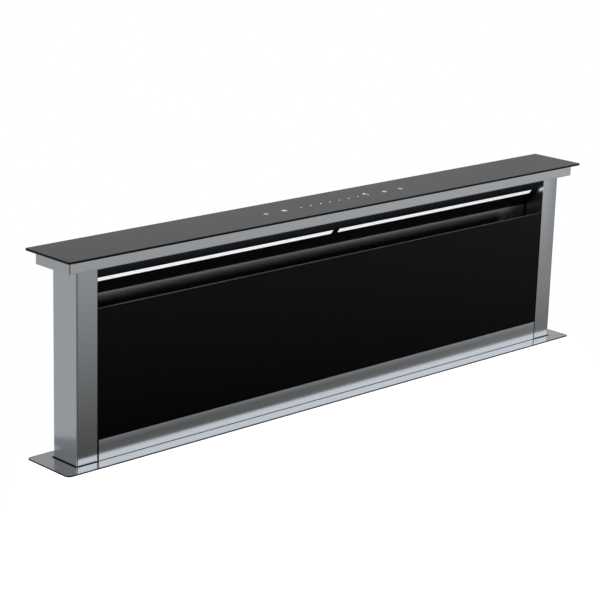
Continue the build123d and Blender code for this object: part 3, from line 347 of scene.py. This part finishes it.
# ---------------------------------------------------------------- other materials
def black_glass(name, thin_axis, edge, roughness, specular=0.5):
    """Toughened glass, printed black on its back, with ground edges of their own shade."""
    surface = Surface(name, IOR=1.5, Specular_IOR_Level=specular)
    surface.rough(surface.noise(7, detail=4), roughness, roughness + 0.03)
    flat = surface.facing()[thin_axis]
    surface.tint(flat, edge, grey(0.001))
    surface.tint(flat, grey(0.12), grey(1), "Specular Tint")
    return surface


def powder_coat(name, dark, light, specular=0.5):
    """Fine orange-peel coat."""
    surface = Surface(name, Specular_IOR_Level=specular)
    peel = surface.noise(900, detail=2)
    surface.tint(surface.noise(9), dark, light)
    surface.rough(peel, 0.34, 0.44)
    surface.bump(peel, 0.01 * MM)
    return surface


def coat_with_painted_light(name, **coat):
    """Powder coat with painted light, lighter the higher it is above the foot of the strip lights.
    """
    surface = powder_coat(name, **coat)
    begin = LIGHTS_FOOT + 1.8 * MM
    painted_light = surface.span(surface.along("Z"), begin, begin + 28 * MM)
    # painted light over the upper part
    surface.cover(painted_light, (0.016, 0.018, 0.022))
    return surface


def galvanised(name):
    """Zinc-coated sheet with its crystals."""
    surface = Surface(name, Metallic=1.0)
    where = surface.scaled_place(130)
    crystals = surface.node("ShaderNodeTexVoronoi", Vector=where, Scale=1.0).outputs["Color"]
    shade = surface.node("ShaderNodeSeparateColor", Color=crystals).outputs
    surface.tint(shade["Red"], (0.50, 0.515, 0.53), (0.55, 0.565, 0.58))
    surface.rough(shade["Green"], 0.33, 0.42)
    surface.bump(surface.noise(700), 0.004 * MM)
    return surface


def turned_metal(name, dark, light, roughness):
    """Steel, bronze or aluminium with fine turning marks round the Z axis."""
    surface = Surface(name, Metallic=1.0)
    marks = surface.noise((40, 40, 2500), detail=2)
    surface.tint(surface.noise(60), dark, light)
    surface.rough(marks, roughness - 0.05, roughness + 0.07)
    surface.bump(marks, 0.004 * MM)
    return surface


def moulded(name, dark, light, roughness, grain=1400, height=0.01 * MM):
    """Moulded plastic or rubber with a spark-eroded texture."""
    surface = Surface(name)
    texture = surface.noise(grain, detail=2)
    surface.tint(surface.noise(14), dark, light)
    surface.rough(texture, roughness - 0.05, roughness + 0.08)
    surface.bump(texture, height)
    return surface


def white_nylon(name):
    """Nylon that lets a little light in."""
    surface = moulded(name, (0.72, 0.7, 0.65), (0.8, 0.78, 0.74), 0.45)
    surface.set("Subsurface Weight", 0.1)
    surface.set("Subsurface Scale", 4 * MM)
    return surface


def lit_diffuser(name):
    """Opal plastic over a row of lights, a little brighter above each of them."""
    surface = Surface(name, Roughness=0.4, Emission_Strength=0.72)
    row = surface.noise((60, 3, 3), detail=1)
    surface.tint(row, (0.3, 0.31, 0.32), (0.36, 0.37, 0.38))
    surface.tint(row, (0.93, 0.94, 0.95), grey(1), "Emission Color")
    return surface


def printed(name):
    """White print that shines through the glass with a painted glow."""
    # painted light: the print glows although it is no lamp
    surface = Surface(name, Roughness=0.4, Emission_Strength=0.5)
    speck = surface.noise(3000, detail=1)
    surface.tint(speck, (0.7, 0.71, 0.72), (0.8, 0.81, 0.82))
    surface.tint(speck, (0.9, 0.91, 0.93), grey(1), "Emission Color")
    return surface


def filter_mesh(name):
    """Layers of expanded aluminium, seen as a fine diamond weave."""
    surface = Surface(name, Metallic=1.0)
    waves = []
    for pitch in (260, -260):
        wave = surface.node("ShaderNodeTexWave", Scale=1.0, bands_direction="DIAGONAL")
        surface.feed(wave.inputs["Vector"], surface.scaled_place((pitch, 0, 160)))
        waves.append(wave.outputs["Fac"])
    weave = surface.maths("MAXIMUM", *waves)
    surface.tint(weave, (0.25, 0.25, 0.26), (0.72, 0.72, 0.73))
    surface.rough(weave, 0.55, 0.3)
    surface.bump(weave, 0.4 * MM)
    return surface


# ---------------------------------------------------------------- a finish for every CAD node
def both(part):
    """The names of the part's left and right nodes."""
    return [f"{part}_{side}" for side in ("left", "right")]


def dress(surface, *names):
    """Makes the surface the only material of these nodes."""
    for name in names:
        if not nodes[name].material_slots:
            nodes[name].data.materials.append(surface.material)
        for slot in nodes[name].material_slots:
            slot.material = surface.material


def dress_steel():
    right_low, right_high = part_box("column_right")
    glass_low, glass_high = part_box("front_glass")
    dress(left_column_steel("steel_upright_left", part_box("column_left")[1].x), "column_left")
    right_steel = right_column_steel("steel_upright_right", right_low.x, right_high.x, right_high.z)
    dress(right_steel, "column_right")
    dress(tray_steel("steel_tray"), "top_tray")
    dress(brushed_steel("steel_along", "X", 0.8), "rear_panel")
    dress(band_steel("steel_band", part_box("front_band")[1].z, glass_low.x), "front_band")
    dress(flange_steel("steel_flange", right_low, right_high), "worktop_flange")
    liner_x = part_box("side_liner_right")[0].x
    dress(wall_steel("steel_wall", glass_high.z, liner_x), "channel_wall")
    wall_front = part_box("channel_wall")[0].y
    dress(liner_steel("steel_ends", wall_front), *both("side_liner"))


def dress_black():
    dress(black_glass("glass_lid", "Z", grey(0.001), 0.03), "top_glass")
    dress(black_glass("glass_front", "Y", grey(0.014), 0.02, specular=0.13), "front_glass")
    coat = {"dark": (0.001, 0.001, 0.0012), "light": (0.0016, 0.0016, 0.002), "specular": 0.12}
    dress(powder_coat("black_coat", **coat), "glass_carrier")
    dress(coat_with_painted_light("black_coat_slanted", **coat), "light_panel")
    enamel = powder_coat("motor_enamel", (0.015, 0.015, 0.017), (0.022, 0.022, 0.024))
    dress(enamel, "lift_motor", "blower_motor")


def dress_metal():
    zinc = galvanised("zinc_sheet")
    dress(zinc, "chassis_front_panel", "chassis_rear_panel", "chassis_floor", "drive_cover")
    dress(zinc, "motor_shelf", "blower_scroll", "blower_cover", "outlet_adaptor", "outlet_collar")
    for part in ("chassis_end", "guide_rail", "fixing_bracket", "lift_bracket"):
        dress(zinc, *both(part))
    plain_aluminium = turned_metal("plain_aluminium", (0.62, 0.62, 0.63), (0.7, 0.7, 0.71), 0.35)
    dress(plain_aluminium, "damper_flap_front", "damper_flap_rear")
    dress(filter_mesh("filter_aluminium"), *both("grease_filter"))
    bronze = turned_metal("bronze", (0.5, 0.32, 0.14), (0.62, 0.42, 0.2), 0.3)
    dress(bronze, *both("lift_nut"))
    bright = turned_metal("bright_steel", (0.5, 0.5, 0.51), (0.62, 0.62, 0.63), 0.28)
    dress(bright, "motor_pulley", "panel_screws", "panel_magnets")
    dress(bright, *both("lead_screw"), *both("screw_pulley"))


def dress_plastic():
    dress(lit_diffuser("light_diffuser"), *both("led_diffuser"))
    dress(moulded("board_white", (0.7, 0.71, 0.7), (0.78, 0.79, 0.78), 0.5), "led_boards")
    black = moulded("black_plastic", (0.018, 0.018, 0.019), (0.028, 0.028, 0.03), 0.5)
    dress(black, "touch_module", "control_box", "control_box_lid", "cable_gland", "limit_switches")
    dress(black, "impeller")
    dress(white_nylon("white_nylon"), *both("glide_shoe"), "screw_bearings")
    rubber = moulded("rubber", grey(0.010), grey(0.016), 0.7, 700, 0.03 * MM)
    dress(rubber, "flange_seal", "drive_belt")


# ---------------------------------------------------------------- pieces of the scene's own
def make_object(name, mesh, material):
    """A new object in the scene, from a mesh that isn't needed after it."""
    data = bpy.data.meshes.new(name)
    mesh.to_mesh(data)
    mesh.free()
    data.materials.append(material)
    made = bpy.data.objects.new(name, data)
    bpy.context.scene.collection.objects.link(made)
    return made


def hide_from(piece, *rays):
    """Hides the piece from these kinds of ray."""
    for ray in rays:
        setattr(piece, f"visible_{ray}", False)


# ---------------------------------------------------------------- touch marks on the lid
# The width of a line, the reach of a mark from its middle, and the place of the row on the lid
STROKE = 0.9 * MM
MARK = 3.6 * MM
ROW_Y = -2.0 * MM


def around(centre, radius, turn):
    """The point at this radius and turn round the centre."""
    return (centre[0] + radius * cos(turn), centre[1] + radius * sin(turn))


def ring(mesh, centre, radius, stroke, start=0.0, sweep=2 * pi):
    """A flat ring, or an arc of one, on the lid."""
    steps = 28
    inner = []
    outer = []
    for step in range(steps + 1):
        turn = start + sweep * step / steps
        for row, size in ((inner, radius - stroke / 2), (outer, radius + stroke / 2)):
            row.append(mesh.verts.new((*around(centre, size, turn), 0)))
    for step in range(steps):
        mesh.faces.new((inner[step], outer[step], outer[step + 1], inner[step + 1]))


def bar(mesh, start, end, stroke):
    """A flat straight stroke on the lid."""
    start = Vector((*start, 0))
    end = Vector((*end, 0))
    side = (end - start).cross(Vector((0, 0, 1))).normalized() * stroke / 2
    corners = (start + side, end + side, end - side, start - side)
    mesh.faces.new([mesh.verts.new(corner) for corner in corners])


def dot(mesh, centre, radius):
    """A flat filled disc on the lid."""
    steps = 20
    turns = [2 * pi * step / steps for step in range(steps)]
    mesh.faces.new([mesh.verts.new((*around(centre, radius, turn), 0)) for turn in turns])


def power_mark(mesh, x):
    """A ring that is open at its top, and a bar in the gap."""
    ring(mesh, (x, ROW_Y), MARK, 0.7 * STROKE, 0.64 * pi, 1.72 * pi)
    bar(mesh, (x, ROW_Y + 0.3 * MARK), (x, ROW_Y + 1.2 * MARK), 0.7 * STROKE)


def light_mark(mesh, x):
    """A ring with eight rays."""
    centre = (x, ROW_Y)
    ring(mesh, centre, 0.7 * MARK, 1.3 * STROKE)
    for ray in range(8):
        turn = ray * pi / 4
        bar(mesh, around(centre, 1.1 * MARK, turn), around(centre, 1.4 * MARK, turn), STROKE)


def level_dots(mesh, first, pitch):
    """A row of seven dots."""
    for level in range(7):
        dot(mesh, (first + level * pitch, ROW_Y), 1.2 * MM)


def fan_mark(mesh, x):
    """A fan of three rings, and the dot of its fastest level in front of it."""
    hub = (x, 6.0 * MM)
    for blade in range(3):
        centre = around(hub, 0.5 * MARK, pi / 2 + blade * 2 * pi / 3)
        ring(mesh, centre, 0.45 * MARK, 0.8 * STROKE)
    dot(mesh, (x + 1.0 * MM, ROW_Y), 1.3 * MM)


def timer_mark(mesh, x):
    """A clock face with two hands."""
    centre = (x, ROW_Y)
    ring(mesh, centre, 0.9 * MARK, 0.9 * STROKE)
    bar(mesh, centre, (x, ROW_Y + 0.65 * MARK), 0.8 * STROKE)
    bar(mesh, centre, (x + 0.5 * MARK, ROW_Y), 0.8 * STROKE)


def up_and_down_mark(mesh, x):
    """Two arrow heads that point apart."""
    for way in (-1, 1):
        tip = (x, ROW_Y + way * 1.2 * MARK)
        for side in (-1, 1):
            foot = (x + side * 0.8 * MARK, ROW_Y + way * 0.35 * MARK)
            bar(mesh, foot, tip, 1.1 * STROKE)


def make_touch_marks():
    """Generic symbols and a row of level dots, as thin white print on the glass, with a painted
    glow.
    """
    mesh = bmesh.new()
    power_mark(mesh, -152.5 * MM)
    light_mark(mesh, -111.7 * MM)
    level_dots(mesh, first=-73.5 * MM, pitch=22.0 * MM)
    fan_mark(mesh, 81.7 * MM)
    timer_mark(mesh, 122.2 * MM)
    up_and_down_mark(mesh, 161.7 * MM)
    piece = make_object("touch_marks", mesh, printed("touch_print").material)
    thickness = piece.modifiers.new("print", "SOLIDIFY")
    thickness.thickness = 0.08 * MM
    thickness.offset = 1.0
    piece.location.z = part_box("top_glass")[1].z
    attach(piece, "head")


# ---------------------------------------------------------------- stage materials
def stage_material(name, build):
    """A material for the stage alone, with the shader that the build function makes."""
    material = bpy.data.materials.new(name)
    material.use_nodes = True
    material.node_tree.nodes.clear()
    tree = NodeTree(material.node_tree)
    tree.node("ShaderNodeOutputMaterial", Surface=build(tree))
    return material


def background_seen(tree):
    """1 for camera, glossy and transmission rays."""
    path = tree.node("ShaderNodeLightPath").outputs
    first = tree.maths("MAXIMUM", path["Is Camera Ray"], path["Is Glossy Ray"])
    return tree.maths("MAXIMUM", first, path["Is Transmission Ray"])


def worktop_surface(tree):
    """Pale worktop: its own diffuse colour, which keeps the shadow, and for whatever looks at it
    as much glow as makes it white."""
    glow_to_white = 0.62
    diffuse = tree.node("ShaderNodeBsdfDiffuse", Color=grey(0.8))
    strength = tree.maths("MULTIPLY", background_seen(tree), glow_to_white)
    glow = tree.node("ShaderNodeEmission", Strength=strength)
    total = tree.node("ShaderNodeAddShader")
    tree.feed(total.inputs[0], diffuse.outputs["BSDF"])
    tree.feed(total.inputs[1], glow.outputs["Emission"])
    return total.outputs["Shader"]


def worktop_edge(tree):
    """The grey cut edge of the worktop, which the photograph's camera doesn't see."""
    return tree.node("ShaderNodeBsdfDiffuse", Color=(0.5, 0.5, 0.51)).outputs["BSDF"]


def shade_card_surface(tree):
    """A plain dim glow, for a painted reflection of shade."""
    return tree.node("ShaderNodeEmission", Color=(0.2, 0.205, 0.215)).outputs["Emission"]


# Brightness round the tent, from its floor to its top. The places are fractions of a turn: 0 is -X,
# 0.25 is -Y, 0.5 is +X and 0.75 is +Y.
TENT_FLOOR = (
    (0.0, 0.4),
    (0.25, 0.34),
    (0.5, 0.34),
    (0.75, 0.4),
    (1.0, 0.4),
)
TENT_LOW = (
    (0.0, 0.4),
    (0.07, 0.35),
    (0.11, 0.10),
    (0.16, 0.10),
    (0.20, 0.2),
    (0.31, 0.0),
    (0.57, 0.0),
    (0.61, 0.36),
    (0.66, 0.4),
    (0.853, 0.42),
    (1.0, 0.4),
)
TENT_BELOW = (
    (0.0, 0.42),
    (0.07, 0.40),
    (0.11, 0.12),
    (0.16, 0.12),
    (0.20, 0.42),
    (0.42, 0.425),
    (0.5, 0.5),
    (0.66, 0.45),
    (0.853, 0.42),
    (1.0, 0.42),
)
TENT_ABOVE = (
    (0.0, 0.3),
    (0.125, 0.5),
    (0.25, 0.85),
    (0.36, 1.0),
    (0.42, 1.0),
    (0.5, 0.7),
    (0.606, 0.38),
    (0.66, 0.54),
    (0.853, 0.225),
    (1.0, 0.25),
)
TENT_HIGH = (
    (0.0, 0.25),
    (0.125, 0.5),
    (0.25, 0.85),
    (0.36, 1.0),
    (0.42, 1.0),
    (0.5, 0.7),
    (0.606, 0.42),
    (0.66, 0.31),
    (0.853, 0.25),
    (1.0, 0.25),
)


def brightness(tree, turn, stops):
    """The grey that one row of stops has at this turn round the tent."""
    return tree.ramp(turn, [(place, grey(value)) for place, value in stops])


def tent_surface(tree):
    """The studio tent that metal and glass mirror. Each row of brightness round it blends into the
    one above it between two heights, which are shares of the tent's radius. The blend from
    TENT_LOW to TENT_BELOW is tilted, and lies higher toward +X."""
    position = tree.node("ShaderNodeNewGeometry").outputs["Position"]
    toward = tree.node("ShaderNodeVectorMath", operation="NORMALIZE")
    tree.feed(toward.inputs[0], position)
    toward = tree.parts(toward.outputs["Vector"])
    height = toward["Z"]
    tilted = tree.maths("MULTIPLY_ADD", toward["X"], -0.18, height)
    turn = tree.span(tree.maths("ARCTAN2", toward["Y"], toward["X"]), -pi, pi)
    rows = (
        (TENT_LOW, height, -0.50, -0.40),
        (TENT_BELOW, tilted, -0.463, -0.327),
        (TENT_ABOVE, height, -0.03, 0.03),
        (TENT_HIGH, height, 0.22, 0.36),
    )
    seen = brightness(tree, turn, TENT_FLOOR)
    for stops, source, start, end in rows:
        risen = tree.span(source, start, end)
        seen = tree.blend(risen, seen, brightness(tree, turn, stops))
    return tree.node("ShaderNodeEmission", Color=seen).outputs["Emission"]


# ---------------------------------------------------------------- stage
def make_worktop():
    """A piece of worktop round the cut-out. It reaches forward and to the left only as far as it
    has to, to hide what hangs below it from the camera, and its right edge lies along the view."""
    thick = 12 * MM
    gap = 3 * MM
    left, left_back = -1.2, -0.60
    front, front_right = -0.9, -0.2
    right_front = -0.085
    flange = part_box("worktop_flange")[1]
    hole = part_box("chassis_rear_panel")[1]
    hole_x = hole.x + gap
    hole_y = hole.y + gap
    right = flange.x + 12 * MM
    back = flange.y + 7 * MM
    outline = (
        (-right, back),
        (left, left_back),
        (left, front),
        (front_right, front),
        (right, right_front),
        (right, back),
    )
    cut_out = ((-hole_x, hole_y), (-hole_x, -hole_y), (hole_x, -hole_y), (hole_x, hole_y))
    mesh = bmesh.new()
    rows = []
    for z in (0.0, -thick):
        rows.append([mesh.verts.new((x, y, z)) for x, y in outline])
        rows.append([mesh.verts.new((x, y, z)) for x, y in cut_out])
    for row in rows:
        for side in range(len(row)):
            mesh.edges.new((row[side], row[(side + 1) % len(row)]))
    for level in (0, 2):
        corners = rows[level] + rows[level + 1]
        ring_edges = [edge for edge in mesh.edges if edge.verts[0] in corners]
        bmesh.ops.triangle_fill(mesh, use_beauty=True, edges=ring_edges)
    for row, under in ((rows[0], rows[2]), (rows[1], rows[3])):
        for side in range(len(row)):
            after = (side + 1) % len(row)
            wall = mesh.faces.new((row[side], row[after], under[after], under[side]))
            wall.material_index = 1
    bmesh.ops.recalc_face_normals(mesh, faces=mesh.faces)
    worktop = make_object("worktop", mesh, stage_material("worktop_pale", worktop_surface))
    worktop.data.materials.append(stage_material("worktop_edge", worktop_edge))
    worktop.location.z = -0.02 * MM
    hide_from(worktop, "glossy")


def make_shade_card():
    """A dim card on the worktop, left of the flange, seen only where the left column mirrors it: a
    painted reflection of shade.
    """
    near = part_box("worktop_flange")[0].x - 1 * MM
    far = near - 119.5 * MM
    front = -150 * MM
    corners = ((near, front), (near, 135 * MM), (far, -30 * MM), (far, front))
    above_worktop = 0.5 * MM
    mesh = bmesh.new()
    mesh.faces.new([mesh.verts.new((x, y, above_worktop)) for x, y in corners])
    # painted reflection of the shade beside the flange
    card = make_object("shade_reflection_card", mesh, stage_material("shade_reflection_card", shade_card_surface))
    hide_from(card, "camera", "diffuse", "shadow", "transmission")


def make_tent():
    """A large round tent outside everything, seen only in reflections."""
    mesh = bmesh.new()
    bmesh.ops.create_uvsphere(mesh, u_segments=64, v_segments=32, radius=12.0)
    bmesh.ops.reverse_faces(mesh, faces=mesh.faces)
    tent = make_object("studio_tent", mesh, stage_material("tent_cloth", tent_surface))
    hide_from(tent, "camera", "diffuse", "transmission", "shadow", "volume_scatter")


def make_world():
    """White where it is seen, also through glass or in a mirror, and soft light for the rest."""
    world = bpy.data.worlds.new("studio")
    bpy.context.scene.world = world
    world.use_nodes = True
    world.node_tree.nodes.clear()
    tree = NodeTree(world.node_tree)
    seen = tree.node("ShaderNodeBackground", Color=grey(1))
    soft = tree.node("ShaderNodeBackground", Color=(0.45, 0.46, 0.48))
    choose = tree.node("ShaderNodeMixShader", Fac=background_seen(tree))
    tree.feed(choose.inputs[1], soft.outputs["Background"])
    tree.feed(choose.inputs[2], seen.outputs["Background"])
    tree.node("ShaderNodeOutputWorld", Surface=choose.outputs["Shader"])


def make_lamp(name, place, target, size, watts):
    """A rectangular lamp that metal and glass don't mirror."""
    data = bpy.data.lights.new(name, "AREA")
    data.shape = "RECTANGLE"
    data.size, data.size_y = size
    data.energy = watts
    lamp = bpy.data.objects.new(name, data)
    bpy.context.scene.collection.objects.link(lamp)
    lamp.location = place
    lamp.rotation_euler = (Vector(target) - Vector(place)).to_track_quat("-Z", "Y").to_euler()
    hide_from(lamp, "glossy")
    return lamp


def make_lamps():
    """Two soft lamps over the vent, and one just off each strip light of the slanted panel."""
    vent = (0, 0, 0)
    make_lamp("key", (-1.6, -2.2, 3.0), vent, size=(2.4, 2.4), watts=95)
    make_lamp("top", (0.4, 0.6, 3.2), vent, size=(3.0, 3.0), watts=60)
    off_panel = Vector((0, -3 * MM, -4 * MM))
    panel_faces = Vector((0, -0.592, -0.806))
    for side in ("left", "right"):
        low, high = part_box(f"led_diffuser_{side}")
        place = (low + high) / 2 + off_panel
        size = (high.x - low.x, 8 * MM)
        lamp = make_lamp(f"strip_{side}", place, place + panel_faces, size, watts=0.7)
        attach(lamp, "head")


make_camera()
dress_steel()
dress_black()
dress_metal()
dress_plastic()
make_touch_marks()
make_worktop()
make_shade_card()
make_tent()
make_world()
make_lamps()
bpy.context.scene.view_settings.view_transform = "Standard"
